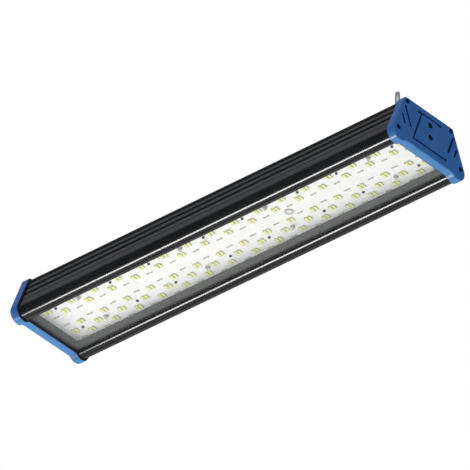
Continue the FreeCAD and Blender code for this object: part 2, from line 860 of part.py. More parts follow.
def driver_end_plate():
    # bent sheet: an upright plate on the case and a foot on the shelf
    thick = driver_plate_thickness
    start = driver_length / 2
    toe = driver_foot
    head = driver_bottom + driver_height
    half = driver_width / 2
    corners = [(Vector(start, -half, driver_bottom), driver_bend_radius + thick),
               (Vector(toe, -half, driver_bottom), 0),
               (Vector(toe, -half, driver_bottom + thick), 0),
               (Vector(start + thick, -half, driver_bottom + thick), driver_bend_radius),
               (Vector(start + thick, -half, head), 0), (Vector(start, -half, head), 0)]
    body = closed_face(corners).extrude(across * driver_width)
    hole = driver_screw_diameter + 2 * screw_clearance
    outlet = Vector(start, 0, driver_bottom + driver_outlet_height)
    tools = [rod(driver_outlet_diameter, outlet, front, thick)]
    for place in driver_plate_places():
        tools.append(rod(hole, place, front, thick))
    for place in driver_mount_places():
        if place.x > 0:
            tools.append(rod(hole, place, up, thick))
    return cut_all(body, tools)


def driver_screw():
    length = driver_screw_length
    return screw(driver_screw_diameter, length, driver_head_diameter, driver_head_height, driver_screw_socket)


def driver_plate_screws():
    blank = driver_screw()
    solids = []
    for place in driver_plate_places():
        seated = placed(blank, place + front * driver_plate_thickness, front)
        solids += [seated, half_turn(seated)]
    return group(solids)


def driver_mount_screws():
    length = driver_plate_thickness + shelf_thickness - tip_gap
    blank = screw(driver_screw_diameter, length, driver_head_diameter,
                  driver_head_height, driver_screw_socket)
    return group([placed(blank, place + up * driver_plate_thickness, up) for place in driver_mount_places()])


def terminal_half():
    return terminal_poles * terminal_pitch / 2


def terminal_mount_places():
    half = terminal_half() + terminal_ear / 2
    return [Vector(terminal_column, side * half, shelf_top) for side in (-1, 1)]


def terminal_seat():
    # underside of a pole screw's head above the shelf
    return terminal_height - terminal_screw_sunk - terminal_head_height


def terminal_pole_places():
    places = []
    for index in range(terminal_poles):
        y = (index + 0.5) * terminal_pitch - terminal_half()
        places.append(Vector(terminal_column, y, shelf_top))
    return places


def terminal_block():
    # stepped moulding with an ear at each end, wire holes through it and a screw well over each pole
    half = terminal_half()
    deep = terminal_depth / 2
    step = deep - terminal_step_depth
    low = shelf_top
    mid = shelf_top + terminal_step_height
    top = shelf_top + terminal_height
    outline = [(-deep, low, 0), (deep, low, 0), (deep, mid, 0.8), (step, mid, 0.8), (step, top, 0.8),
               (-step, top, 0.8), (-step, mid, 0.8), (-deep, mid, 0.8)]
    corners = [(Vector(terminal_column + x, -half, z), radius) for x, z, radius in outline]
    body = closed_face(corners).extrude(across * (2 * half))
    ears = Part.makeBox(terminal_step_depth * 2, 2 * (half + terminal_ear), terminal_ear_height,
                        Vector(terminal_column - terminal_step_depth, -half - terminal_ear, low))
    body = body.fuse(ears).removeSplitter()
    tools = []
    for place in terminal_pole_places():
        start = place + up * terminal_wire_height - front * deep
        tools.append(rod(terminal_wire_hole, start, front, terminal_depth))
        wire = place + up * terminal_wire_height
        reach = terminal_seat() - terminal_wire_height
        tools.append(rod(terminal_screw_diameter + 2 * thread_clearance, wire, up, reach))
        head = terminal_head_diameter + 2 * screw_clearance
        tools.append(rod(head, wire + up * reach, up, terminal_height))
    for place in terminal_mount_places():
        tools.append(rod(terminal_screw_diameter + 2 * screw_clearance, place, up, terminal_ear_height))
    return cut_all(body, tools)


def terminal_screws():
    reach = terminal_seat() - terminal_wire_height - terminal_wire_hole / 4
    blank = screw(terminal_screw_diameter, reach, terminal_head_diameter,
                  terminal_head_height, driver_screw_socket)
    return group([placed(blank, place + up * terminal_seat(), up) for place in terminal_pole_places()])


def terminal_mount_screws():
    length = terminal_ear_height + shelf_thickness - tip_gap
    blank = screw(driver_screw_diameter, length, terminal_head_diameter,
                  driver_head_height, driver_screw_socket)
    return group([placed(blank, place + up * terminal_ear_height, up) for place in terminal_mount_places()])


os.makedirs("parts", exist_ok=True)

# Pieces that come twice, once at each end
for node, make in (("end_cap", end_cap), ("bracket_inserts", bracket_inserts),
                   ("end_cap_screws", end_cap_screws), ("end_gasket", end_gasket),
                   ("leds", board_leds), ("resistors", board_resistors), ("board_screws", board_screws),
                   ("board_rivets", board_rivets), ("driver_end_plate", driver_end_plate)):
    right = make()
    save(right, node + "_right")
    save(half_turn(right), node + "_left")

# The grommet's hole is only in the right board
board = led_board()
grommet_base = Vector(grommet_column, 0, board_face - over_cut)
grommet_hole = rod(grommet_neck_diameter, grommet_base, up, board_thickness + 2 * over_cut)
save(board.cut(grommet_hole), "led_board_right")
save(half_turn(board), "led_board_left")

save(cover_seal(-1), "cover_seal_near")
save(cover_seal(1), "cover_seal_far")

for make in (housing, clear_cover, wire_grommet, eye_bolt, eye_washer, eye_jam_nut, eye_lock_nut,
             gland_body, gland_seal, gland_nut, gland_locknut, driver_case, driver_plate_screws,
             driver_mount_screws, terminal_block, terminal_screws, terminal_mount_screws):
    save(make(), make.__name__)
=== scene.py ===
import math

import bmesh
import bpy
from mathutils import Matrix, Vector


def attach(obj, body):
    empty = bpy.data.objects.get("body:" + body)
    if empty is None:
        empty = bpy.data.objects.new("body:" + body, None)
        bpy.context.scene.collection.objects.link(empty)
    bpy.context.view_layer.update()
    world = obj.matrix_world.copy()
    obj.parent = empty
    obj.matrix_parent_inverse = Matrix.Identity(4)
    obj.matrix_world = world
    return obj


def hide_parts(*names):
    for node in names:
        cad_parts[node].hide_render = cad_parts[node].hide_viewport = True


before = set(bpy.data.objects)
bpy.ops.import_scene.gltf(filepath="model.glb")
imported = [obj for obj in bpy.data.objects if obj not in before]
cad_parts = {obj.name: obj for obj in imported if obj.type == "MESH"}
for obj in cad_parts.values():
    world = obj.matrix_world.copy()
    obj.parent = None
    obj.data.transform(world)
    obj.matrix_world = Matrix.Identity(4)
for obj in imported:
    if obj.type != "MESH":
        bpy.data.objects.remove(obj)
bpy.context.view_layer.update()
mm = 0.001
print("frame loaded:", len(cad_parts), "nodes")

# Section shared by the extrusion and the caps, millimetres
section = dict(capHeight=68.5, topWidth=88.8, flankAngle=22.75, lobeRadius=13.0, proud=2.2, housingEnd=288.0,
               channelInset=8.78, boardFace=22.2, boardThickness=1.6, shelfThickness=3.0)
lean = math.radians(section["flankAngle"])
leanSin, leanCos, leanTan = math.sin(lean), math.cos(lean), math.tan(lean)
lobeZ = section["lobeRadius"]
lobeY = section["topWidth"] / 2 + ((section["capHeight"] - lobeZ) * leanSin - lobeZ) / leanCos
channelHalf = lobeY - section["channelInset"]
roofZ = section["capHeight"] - section["proud"]
shelfLow = section["boardFace"] + section["boardThickness"]
shelfTop = shelfLow + section["shelfThickness"]


# Shader helpers

class Value:
    # a socket that takes part in sums
    def __init__(self, finish, socket):
        self.finish = finish
        self.socket = socket

    def maths(self, operation, first, second):
        return self.finish.node("ShaderNodeMath", {"operation": operation}, {0: first, 1: second})

    def __add__(self, other):
        return self.maths("ADD", self, other)

    def __radd__(self, other):
        return self.maths("ADD", other, self)

    def __mul__(self, other):
        return self.maths("MULTIPLY", self, other)

    def __rmul__(self, other):
        return self.maths("MULTIPLY", other, self)


class Finish:
    # a material, or the world, put together node by node
    def __init__(self, owner, output="ShaderNodeOutputMaterial"):
        owner.use_nodes = True
        self.owner = owner
        self.output = output
        self.tree = owner.node_tree
        self.tree.nodes.clear()

    def node(self, kind, settings=None, inputs=None, output=0):
        made = self.tree.nodes.new(kind)
        for key, value in (settings or {}).items():
            setattr(made, key, value)
        for key, value in (inputs or {}).items():
            if isinstance(value, Value):
                self.tree.links.new(value.socket, made.inputs[key])
            else:
                made.inputs[key].default_value = value
        return Value(self, made.outputs[output]) if made.outputs else None

    def place(self, stretch=(1, 1, 1)):
        spot = self.node("ShaderNodeTexCoord", output="Object")
        return self.node("ShaderNodeMapping", None, {"Vector": spot, "Scale": stretch})

    def noise(self, scale, detail=3.0, stretch=(1, 1, 1)):
        return self.node("ShaderNodeTexNoise", None,
                         {"Vector": self.place(stretch), "Scale": scale, "Detail": detail})

    def mix(self, factor, first, second):
        return self.node("ShaderNodeMix", {"data_type": "RGBA"}, {0: factor, 6: first, 7: second}, 2)

    def spread(self, value, low=0.3, high=0.7):
        # value from low..high spread over 0..1
        return self.node("ShaderNodeMapRange", {"interpolation_type": "SMOOTHSTEP"},
                         {"Value": value, "From Min": low, "From Max": high})

    def bump(self, height, distance):
        return self.node("ShaderNodeBump", None, {"Height": height, "Distance": distance, "Strength": 1.0})

    def principled(self, inputs):
        return self.node("ShaderNodeBsdfPrincipled", None, inputs)

    def show(self, shader):
        self.node(self.output, None, {"Surface": shader})
        return self.owner


def newFinish(name):
    return Finish(bpy.data.materials.new(name))


def rgb(red, green, blue):
    return (red, green, blue, 1.0)


# Finishes; scales are per metre, reliefs in metres

anodised = dict(dark=rgb(0.012, 0.0124, 0.0122), light=rgb(0.017, 0.0175, 0.0172), clouds=22.0,
                dieLines=(1.5, 420, 420), relief=0.000012, roughness=0.11, lineSpread=0.06, cloudSpread=0.03,
                channelMargin=0.054, channelRoughness=0.3)


def makeAnodised():
    # satin on the flanks and lips, duller within the width of the channel
    f = newFinish("blackAnodised")
    lines = f.noise(1.0, 1.0, anodised["dieLines"])
    cloud = f.noise(anodised["clouds"], 4.0)
    sideways = f.node("ShaderNodeSeparateXYZ", None, {"Vector": f.place()}, "Y")
    across = f.node("ShaderNodeMath", {"operation": "ABSOLUTE"}, {0: sideways})
    edge = (channelHalf + anodised["channelMargin"]) * mm
    channel = f.node("ShaderNodeMath", {"operation": "LESS_THAN"}, {0: across, 1: edge})
    return f.show(f.principled({
        "Base Color": f.mix(f.spread(cloud, 0.35), anodised["dark"], anodised["light"]),
        "Roughness": (anodised["roughness"] + anodised["lineSpread"] * lines
                      + anodised["cloudSpread"] * cloud + anodised["channelRoughness"] * channel),
        "Normal": f.bump(lines, anodised["relief"])}))


moulding = dict(flow=30.0, flowSpread=0.05, grain=1900.0, grainSpread=0.1, relief=0.000004)
blueSkin = dict(deep=rgb(0.050, 0.197, 0.448), pale=rgb(0.060, 0.222, 0.503), roughness=0.21, specular=0.29)
# painted shade: a darker copy of the cap's blue for the walls and floors of the slots, screw seats, moat and
# bracket holes
blueRecess = dict(deep=rgb(0.005, 0.042, 0.170), pale=rgb(0.008, 0.056, 0.215), roughness=0.5, specular=0.1)


def makeBlue(name, tone):
    f = newFinish(name)
    flow = f.noise(moulding["flow"], 5.0)
    grain = f.noise(moulding["grain"], 2.0)
    return f.show(f.principled({
        "Base Color": f.mix(f.spread(flow), tone["deep"], tone["pale"]),
        "Roughness": tone["roughness"] + moulding["grainSpread"] * grain + moulding["flowSpread"] * flow,
        "Specular IOR Level": tone["specular"],
        "Normal": f.bump(grain, moulding["relief"])}))


clearSheet = dict(tint=rgb(0.80, 0.81, 0.80), dust=140.0, veil=0.06, veilSpread=0.03,
                  roughness=0.05, roughnessSpread=0.05, index=1.49)


def makeClearSheet():
    f = newFinish("clearSheet")
    dust = f.noise(clearSheet["dust"], 6.0)
    return f.show(f.principled({
        "Base Color": clearSheet["tint"],
        "Roughness": clearSheet["roughness"] + clearSheet["roughnessSpread"] * dust,
        "IOR": clearSheet["index"],
        "Alpha": clearSheet["veil"] + clearSheet["veilSpread"] * dust}))


whiteMask = dict(base=rgb(0.95, 0.94, 0.905), shade=rgb(0.91, 0.90, 0.87), clouds=45.0, cloudShare=0.6,
                 traces=27.3, traceWidth=0.012, traceSoftness=0.4, traceRow=0.3, traceShare=0.4,
                 weave=1500.0, weaveLift=0.3, relief=0.00004, roughness=0.32, roughnessSpread=0.12)


def makeWhiteMask():
    # solder mask with the copper traces showing faintly through it
    m = whiteMask
    f = newFinish("whiteMask")
    cloud = f.spread(f.noise(m["clouds"], 4.0))
    weave = f.noise(m["weave"], 2.0)
    trace = f.node("ShaderNodeTexBrick", {"offset": 0.5, "squash": 1.0},
                   {"Vector": f.place(), "Scale": m["traces"], "Mortar Size": m["traceWidth"],
                    "Mortar Smooth": m["traceSoftness"], "Brick Width": 1.0, "Row Height": m["traceRow"]}, 1)
    return f.show(f.principled({
        "Base Color": f.mix(cloud * m["cloudShare"] + m["traceShare"] * trace, m["base"], m["shade"]),
        "Roughness": m["roughness"] + m["roughnessSpread"] * weave,
        "Normal": f.bump(weave * m["weaveLift"] + trace, m["relief"])}))


yellowPhosphor = dict(dark=rgb(0.90, 0.88, 0.36), light=rgb(0.95, 0.93, 0.44), clouds=300.0, grain=2400.0,
                      roughness=0.34, roughnessSpread=0.15, relief=0.00003)


def makePhosphor():
    p = yellowPhosphor
    f = newFinish("phosphor")
    grain = f.noise(p["grain"])
    return f.show(f.principled({
        "Base Color": f.mix(f.spread(f.noise(p["clouds"], 2.0)), p["dark"], p["light"]),
        "Roughness": p["roughness"] + p["roughnessSpread"] * grain,
        "Normal": f.bump(grain, p["relief"])}))


zinc = dict(dark=rgb(0.74, 0.73, 0.72), light=rgb(0.84, 0.83, 0.82), spangles=420.0,
            scratches=(900, 900, 90), metallic=0.5, metallicSpread=0.25, roughness=0.3,
            spangleSpread=0.14, scratchSpread=0.08, spangleLift=0.4, relief=0.00003)


def makeZinc():
    f = newFinish("zincSteel")
    spangle = f.noise(zinc["spangles"], 4.0)
    scratch = f.noise(1.0, 3.0, zinc["scratches"])
    return f.show(f.principled({
        "Base Color": f.mix(f.spread(spangle), zinc["dark"], zinc["light"]),
        "Metallic": zinc["metallic"] + zinc["metallicSpread"] * spangle,
        "Roughness": zinc["roughness"] + zinc["spangleSpread"] * spangle + zinc["scratchSpread"] * scratch,
        "Normal": f.bump(scratch + zinc["spangleLift"] * spangle, zinc["relief"])}))


aluminium = dict(dark=rgb(0.60, 0.61, 0.62), light=rgb(0.72, 0.73, 0.74), clouds=25.0,
                 drawLines=(3, 1400, 1400), roughness=0.3, roughnessSpread=0.18, relief=0.00002)


def makeAluminium():
    f = newFinish("plainAluminium")
    lines = f.noise(1.0, 3.0, aluminium["drawLines"])
    return f.show(f.principled({
        "Base Color": f.mix(f.noise(aluminium["clouds"], 4.0), aluminium["dark"], aluminium["light"]),
        "Metallic": 1.0,
        "Roughness": aluminium["roughness"] + aluminium["roughnessSpread"] * lines,
        "Normal": f.bump(lines, aluminium["relief"])}))


grained = dict(
    darkScrew=dict(dark=rgb(0.004, 0.008, 0.026), light=rgb(0.009, 0.015, 0.044), grain=1600.0,
                   relief=0.00003, roughness=0.3, roughnessSpread=0.2, metallic=0.55, metallicSpread=0.2),
    darkRubber=dict(dark=rgb(0.014, 0.014, 0.014), light=rgb(0.032, 0.031, 0.03), clouds=60.0, grain=2600.0,
                    relief=0.00005, roughness=0.68, roughnessSpread=0.2, fixed={"Specular IOR Level": 0.3}),
    # painted shade: the LED package is a darker copy of the phosphor yellow, for the shaded sides and the
    # gaps between the LEDs
    shadedLedPackage=dict(dark=rgb(0.68, 0.67, 0.25), light=rgb(0.76, 0.75, 0.31), grain=2000.0, detail=2.0,
                    relief=0.00003, roughness=0.45, roughnessSpread=0.15),
    solder=dict(dark=rgb(0.52, 0.52, 0.53), light=rgb(0.68, 0.68, 0.68), grain=1800.0, relief=0.00004,
                roughness=0.32, roughnessSpread=0.2, metallic=0.85, metallicSpread=0.1),
    chipBody=dict(dark=rgb(0.40, 0.41, 0.25), light=rgb(0.50, 0.51, 0.33), grain=2200.0, relief=0.00003,
                  roughness=0.4, roughnessSpread=0.2),
    chipTin=dict(dark=rgb(0.48, 0.48, 0.33), light=rgb(0.58, 0.58, 0.43), grain=1900.0, relief=0.00004,
                 roughness=0.4, roughnessSpread=0.2, metallic=0.3, metallicSpread=0.2),
    whiteNylon=dict(dark=rgb(0.74, 0.74, 0.75), light=rgb(0.82, 0.82, 0.82), clouds=90.0, grain=1700.0,
                    relief=0.00004, roughness=0.42, roughnessSpread=0.12),
    # painted shade: a darker nylon on the rivet sides and flanges and on the grommet flange, against the
    # lighter whiteNylon; also the terminal block's grey nylon
    greyNylonAndShade=dict(dark=rgb(0.50, 0.46, 0.43), light=rgb(0.60, 0.56, 0.52), clouds=90.0, grain=1700.0,
                   relief=0.00004, roughness=0.42, roughnessSpread=0.12),
    blackNylon=dict(dark=rgb(0.013, 0.013, 0.014), light=rgb(0.024, 0.024, 0.025), clouds=70.0, grain=1500.0,
                    relief=0.00006, roughness=0.46, roughnessSpread=0.16),
    plainBrass=dict(dark=rgb(0.62, 0.46, 0.18), light=rgb(0.74, 0.57, 0.26), grain=1300.0, relief=0.00002,
                    roughness=0.25, roughnessSpread=0.15, fixed={"Metallic": 1.0}),
)


def makeGrained(name, tone):
    # grain roughens and lifts the surface; the tint follows it, or wider clouds where there are some
    f = newFinish(name)
    grain = f.noise(tone["grain"], tone.get("detail", 3.0))
    tint = f.noise(tone["clouds"]) if "clouds" in tone else grain
    inputs = {"Base Color": f.mix(tint, tone["dark"], tone["light"]),
              "Roughness": tone["roughness"] + tone["roughnessSpread"] * grain,
              "Normal": f.bump(grain, tone["relief"]),
              **tone.get("fixed", {})}
    if "metallic" in tone:
        inputs["Metallic"] = tone["metallic"] + tone["metallicSpread"] * grain
    return f.show(f.principled(inputs))


finishes = {name: makeGrained(name, tone) for name, tone in grained.items()}
finishes.update(blackAnodised=makeAnodised(), blueSkin=makeBlue("blueMoulding", blueSkin),
                blueRecess=makeBlue("blueRecess", blueRecess), clearSheet=makeClearSheet(),
                whiteMask=makeWhiteMask(), phosphor=makePhosphor(), zincSteel=makeZinc(),
                plainAluminium=makeAluminium())
print("finishes made:", len(finishes))


# Mesh helpers

quarterTurn = Matrix.Rotation(math.pi / 2, 4, "Y")      # turns +X to -Z, and +Z to +X


def at(y, z, x=0.0):
    return Vector((x, y, z)) * mm      # a point of the section, given in millimetres


class Pen:
    # draws an outline at constant X: its last vertex is extruded along lines and spun along arcs
    def __init__(self, mesh, start, arcStep=6.0):
        self.mesh = mesh
        self.tip = mesh.verts.new(start)
        self.arcStep = math.radians(arcStep)

    def line(self, target):
        if (target - self.tip.co).length > 1e-7:
            self.tip = bmesh.ops.extrude_vert_indiv(self.mesh, verts=[self.tip])["verts"][0]
            self.tip.co = target

    def arc(self, center, angle, steps=0):
        steps = steps or max(2, math.ceil(abs(angle) / self.arcStep))
        made = bmesh.ops.spin(self.mesh, geom=[self.tip], cent=center, axis=(1, 0, 0),
                              angle=angle, steps=steps)
        self.tip = next(item for item in made["geom_last"] if isinstance(item, bmesh.types.BMVert))

    def corners(self, points, steps=0):
        # straight runs through (point, radius) corners, each corner rounded by a tangent arc
        for index, (point, radius) in enumerate(points):
            if radius == 0 or index == len(points) - 1:
                self.line(point)
                continue
            before = (point - self.tip.co).normalized()
            after = (points[index + 1][0] - point).normalized()
            turn = before.angle(after) * math.copysign(1, before.cross(after).x)
            self.line(point - before * (radius * mm * math.tan(abs(turn) / 2)))
            side = Vector((1, 0, 0)).cross(before) * math.copysign(radius * mm, turn)
            self.arc(self.tip.co + side, turn, steps)


def drawn(mesh, draw, *details):
    # edges that a drawing adds; the drawing is half an outline, which is mirrored across the middle
    known = set(mesh.edges)
    knownVerts = set(mesh.verts)
    draw(mesh, *details)
    half = [v for v in mesh.verts if v not in knownVerts] + [e for e in mesh.edges if e not in known]
    bmesh.ops.mirror(mesh, geom=half, matrix=Matrix(), merge_dist=1e-7, axis="Y")
    return [edge for edge in mesh.edges if edge not in known]


def ringOf(mesh, center, radius, segments=32, turn=quarterTurn):
    # edges of a circle, at constant X unless it is turned otherwise
    made = bmesh.ops.create_circle(mesh, radius=radius * mm, segments=segments,
                                   matrix=Matrix.Translation(center) @ turn)["verts"]
    return list(dict.fromkeys(edge for vert in made for edge in vert.link_edges))


def pushed(mesh, loop, reach):
    # walls drawn from a loop along X; gives the far loop
    made = bmesh.ops.extrude_edge_only(mesh, edges=loop)["geom"]
    ends = {item for item in made if isinstance(item, bmesh.types.BMVert)}
    bmesh.ops.translate(mesh, verts=list(ends), vec=(reach * mm, 0, 0))
    return [e for e in made if isinstance(e, bmesh.types.BMEdge) and all(v in ends for v in e.verts)]


def sunk(mesh, loop, depth):
    # recess with a flat floor below a loop of the face
    bmesh.ops.contextual_create(mesh, geom=pushed(mesh, loop, -depth))


def filled(mesh, *loops):
    # flat face inside the first loop, with the other loops as holes
    edges = [edge for loop in loops for edge in loop]
    bmesh.ops.triangle_fill(mesh, use_beauty=True, edges=edges)


def thickened(mesh, shift):
    # a flat face made solid
    made = bmesh.ops.extrude_face_region(mesh, geom=mesh.faces[:])["geom"]
    far = [item for item in made if isinstance(item, bmesh.types.BMVert)]
    bmesh.ops.translate(mesh, verts=far, vec=shift)


def turned(mesh, outline, segments):
    # surface turned about +X from (x, radius) points
    pen = Pen(mesh, at(0, outline[0][1], outline[0][0]))
    for x, radius in outline[1:]:
        pen.line(at(0, radius, x))
    bmesh.ops.spin(mesh, geom=mesh.verts[:] + mesh.edges[:], cent=(0, 0, 0), axis=(1, 0, 0),
                   angle=2 * math.pi, steps=segments, use_merge=True)
    bmesh.ops.remove_doubles(mesh, verts=mesh.verts, dist=1e-7)


def boxIn(mesh, low, high, material=0):
    matrix = Matrix.Translation((low + high) / 2) @ Matrix.Diagonal((*(high - low), 1))
    made = bmesh.ops.create_cube(mesh, size=1.0, matrix=matrix)["verts"]
    faces = list({face for vert in made for face in vert.link_faces})
    for face in faces:
        face.material_index = material
    return faces


def templateOf(mesh):
    bmesh.ops.recalc_face_normals(mesh, faces=mesh.faces)
    data = bpy.data.meshes.new("template")
    mesh.to_mesh(data)
    mesh.free()
    return data


def stamped(template, matrices):
    # copies of a small mesh
    mesh = bmesh.new()
    for matrix in matrices:
        count = len(mesh.verts)
        mesh.from_mesh(template)
        mesh.verts.ensure_lookup_table()
        bmesh.ops.transform(mesh, matrix=matrix, verts=mesh.verts[count:])
    return mesh


def finished(name, mesh, materials, slot, nodes, sharp=32.0, weighted=False):
    # object at the origin for a bmesh, riding on the lamp in place of its nodes
    bmesh.ops.remove_doubles(mesh, verts=mesh.verts, dist=1e-7)
    bmesh.ops.recalc_face_normals(mesh, faces=mesh.faces)
    for face in mesh.faces:
        face.smooth = True
    data = bpy.data.meshes.new(name)
    mesh.to_mesh(data)
    mesh.free()
    data.set_sharp_from_angle(angle=math.radians(sharp))
    for material in materials:
        data.materials.append(finishes[material])
    piece = bpy.data.objects.new(name, data)
    bpy.context.scene.collection.objects.link(piece)
    if weighted:
        normals = piece.modifiers.new("flatFaces", "WEIGHTED_NORMAL")
        normals.keep_sharp = True
    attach(piece, "root")
    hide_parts(*nodes)
    print("piece", name, "faces", len(data.polygons))


def finishedSide(name, side, mesh, materials, slot, node, **edges):
    # one of two like pieces: it is made at the right, and given half a turn for the left
    if side == "left":
        bmesh.ops.rotate(mesh, verts=mesh.verts, cent=(0, 0, 0), matrix=Matrix.Rotation(math.pi, 3, "Z"))
    finished(name + "." + side, mesh, materials, slot, [node + "_" + side], **edges)


# Extrusion

lobe = at(lobeY, lobeZ)
housing = dict(cornerRadius=4.0, wall=4.6, roof=3.2, ribRoof=5.2, ribWidth=30.0, innerRadius=1.6,
               portWall=7.0, lipWall=3.0, pocketFloor=22.0, noseRadius=1.0,
               noseSteps=10, grooveStep=5.0, lobeStep=2.5, chamberStep=15.0,
               flankGrooves=(7.8, 19.5, 31.7), roofGrooves=(20.5, 31.0), floorRadius=0.6,
               flankGroove=dict(width=5.0, floor=2.4, depth=2.7, edge=1.1),
               roofGroove=dict(width=4.0, floor=2.0, depth=1.3, edge=0.6),
               flankLine=43.2, lineWidth=1.6, lineDepth=0.7, coverFloor=8.0, grooveTop=11.8, grooveReach=3.1,
               sharp=24.0)


def flankY(z, inset):
    # half width at height z, on a line set in from the cap's flank
    return section["topWidth"] / 2 + (section["capHeight"] - z) * leanTan - inset / leanCos


def bearing(center, point):
    # direction of a point from a centre, from +Y towards +Z
    return math.atan2(point.z - center.z, point.y - center.y)


def flankPoint(along, below):
    start = at(flankY(roofZ, section["proud"]), roofZ)
    return start + at(leanSin, -leanCos) * along - at(leanCos, leanSin) * below


def roofPoint(along, below):
    return at(along, roofZ - below)


def groove(pointAt, place, shape):
    mouth, floor, depth = shape["width"] / 2, shape["floor"] / 2, shape["depth"]
    foot = housing["floorRadius"]
    return [(pointAt(place - mouth, 0), shape["edge"]), (pointAt(place - floor, depth), foot),
            (pointAt(place + floor, depth), foot), (pointAt(place + mouth, 0), shape["edge"])]


def drawExtrusion(mesh):
    h = housing
    radius = section["lobeRadius"] - section["proud"]
    noseY = channelHalf + h["noseRadius"]
    noseZ = lobeZ - math.sqrt((radius - h["noseRadius"]) ** 2 - (lobeY - noseY) ** 2)
    nose = at(noseY, noseZ)
    meet = lobe + (nose - lobe) * (radius / (radius - h["noseRadius"]))
    path = []
    for place in h["roofGrooves"]:
        path += groove(roofPoint, place, h["roofGroove"])
    path.append((at(flankY(roofZ, section["proud"]), roofZ), h["cornerRadius"]))
    for place in h["flankGrooves"]:
        path += groove(flankPoint, place, h["flankGroove"])
    half = h["lineWidth"] / 2
    path += [(flankPoint(h["flankLine"] - half, 0), 0), (flankPoint(h["flankLine"], h["lineDepth"]), 0),
             (flankPoint(h["flankLine"] + half, 0), 0), (lobe + at(leanCos, leanSin) * radius, 0)]
    pen = Pen(mesh, at(0, roofZ), h["grooveStep"])
    pen.corners(path)
    pen.arcStep = math.radians(h["lobeStep"])
    pen.arc(lobe, bearing(lobe, meet) - lean)
    pen.arc(nose, -math.pi - bearing(nose, meet), h["noseSteps"])
    reach = channelHalf + h["grooveReach"]
    for y, z in ((channelHalf, h["coverFloor"]), (reach, h["coverFloor"]), (reach, h["grooveTop"]),
                 (channelHalf, h["grooveTop"]), (channelHalf, shelfLow), (0, shelfLow)):
        pen.line(at(y, z))


def drawChamber(mesh, x=0.0):
    # inner space of the extrusion, which the caps continue
    h = housing
    inset = section["proud"] + h["wall"]
    ceiling = roofZ - h["roof"]
    strip = roofZ - h["ribRoof"]
    rib = h["ribWidth"] / 2
    portLow = ceiling - h["portWall"]
    pocket = channelHalf + h["lipWall"]
    pen = Pen(mesh, at(0, strip, x), h["chamberStep"])
    pen.corners([(at(rib, strip, x), h["innerRadius"] / 2),
                 (at(rib + h["ribRoof"] - h["roof"], ceiling, x), h["innerRadius"] / 2),
                 (at(flankY(ceiling, inset) - h["portWall"] / 2, ceiling, x), h["innerRadius"]),
                 (at(flankY(portLow, inset), portLow, x), h["innerRadius"]),
                 (at(flankY(h["pocketFloor"], inset), h["pocketFloor"], x), h["innerRadius"]),
                 (at(pocket, h["pocketFloor"], x), h["innerRadius"]),
                 (at(pocket, shelfTop, x), h["innerRadius"]),
                 (at(0, shelfTop, x), 0)])


def buildHousing():
    mesh = bmesh.new()
    filled(mesh, drawn(mesh, drawExtrusion), drawn(mesh, drawChamber))
    end = section["housingEnd"] * mm
    bmesh.ops.translate(mesh, verts=mesh.verts, vec=(-end, 0, 0))
    thickened(mesh, (2 * end, 0, 0))
    finished("flutedHousing", mesh, ["blackAnodised"], "black_anodised", ["housing"], housing["sharp"])


buildHousing()


# End caps

cap = dict(outer=300.0, depth=11.0, topRadius=4.5, lowerEdge=4.5, lowerRadius=3.0, edgeRadius=1.8,
           edgeSteps=6, topSteps=10, lobeSteps=40, hollowSteps=8, sharp=34.0, pocketDepth=6.5, bossRadius=6.5,
           panelRise=1.5, panelTopWidth=28.4, panelBottomWidth=58.6, panelBottom=15.6, panelRadius=0.5,
           panelEdge=0.45, panelEdgeSteps=3, panelSteps=4, moatWidth=1.9, recessDepth=3.2, recessStart=0.01,
           topSlotDrop=10.0, topSlotLength=43.5, topSlotWidth=3.4, topSlotSteps=12,
           slotDrops=(14.8, 29.2), slotInset=5.8, slotFoot=29.0, slotLean=21.0, slotWidth=3.0, slotSteps=10,
           holeRadius=3.9, holeSpacing=17.5, holeDrop=20.1, holeDepth=9.0,
           headRadius=3.5, headSeat=3.8, topScrewInset=5.65, lowScrewInset=7.75, lowScrewZ=16.5)
topSlotZ = section["capHeight"] - cap["topSlotDrop"]
panelTop = topSlotZ - cap["topSlotWidth"] / 2
panelLean = (cap["panelBottomWidth"] - cap["panelTopWidth"]) / 2 / (panelTop - cap["panelBottom"])
bracketHoles = [section["capHeight"] - cap["holeDrop"] - cap["holeSpacing"] * row for row in (0, 1)]


def screwPlaces():
    top = section["capHeight"] - cap["topScrewInset"]
    upper = flankY(top, cap["topScrewInset"])
    lower = flankY(cap["lowScrewZ"], cap["lowScrewInset"])
    return [(side * y, z) for side in (-1, 1) for y, z in ((upper, top), (lower, cap["lowScrewZ"]))]


def drawCapOutline(mesh, inset, x):
    radius = section["lobeRadius"] - inset
    lower = cap["lowerRadius"] + inset
    top = section["capHeight"] - inset
    edge = cap["lowerEdge"] + inset
    center = at(lobeY, lobeZ, x)
    fall = lobeZ - edge + lower
    hollow = at(lobeY - math.sqrt((radius + lower) ** 2 - fall ** 2), edge - lower, x)
    meet = center + (hollow - center) * (radius / (radius + lower))
    pen = Pen(mesh, at(0, top, x))
    pen.corners([(at(flankY(top, inset), top, x), cap["topRadius"] - inset),
                 (center + at(leanCos, leanSin) * radius, 0)], cap["topSteps"])
    pen.arc(center, bearing(center, meet) - lean, cap["lobeSteps"])
    pen.arc(hollow, math.pi / 2 - bearing(hollow, meet), cap["hollowSteps"])
    pen.line(at(0, edge, x))


def drawPanel(mesh, inset, x):
    side = inset * math.sqrt(1 + panelLean ** 2)
    foot = cap["panelBottom"] + inset
    head = panelTop - inset
    pen = Pen(mesh, at(0, head, x))
    pen.corners([(at(cap["panelTopWidth"] / 2 - side + inset * panelLean, head, x), cap["panelRadius"]),
                 (at(cap["panelBottomWidth"] / 2 - side - inset * panelLean, foot, x), cap["panelRadius"]),
                 (at(0, foot, x), 0)], cap["panelSteps"])


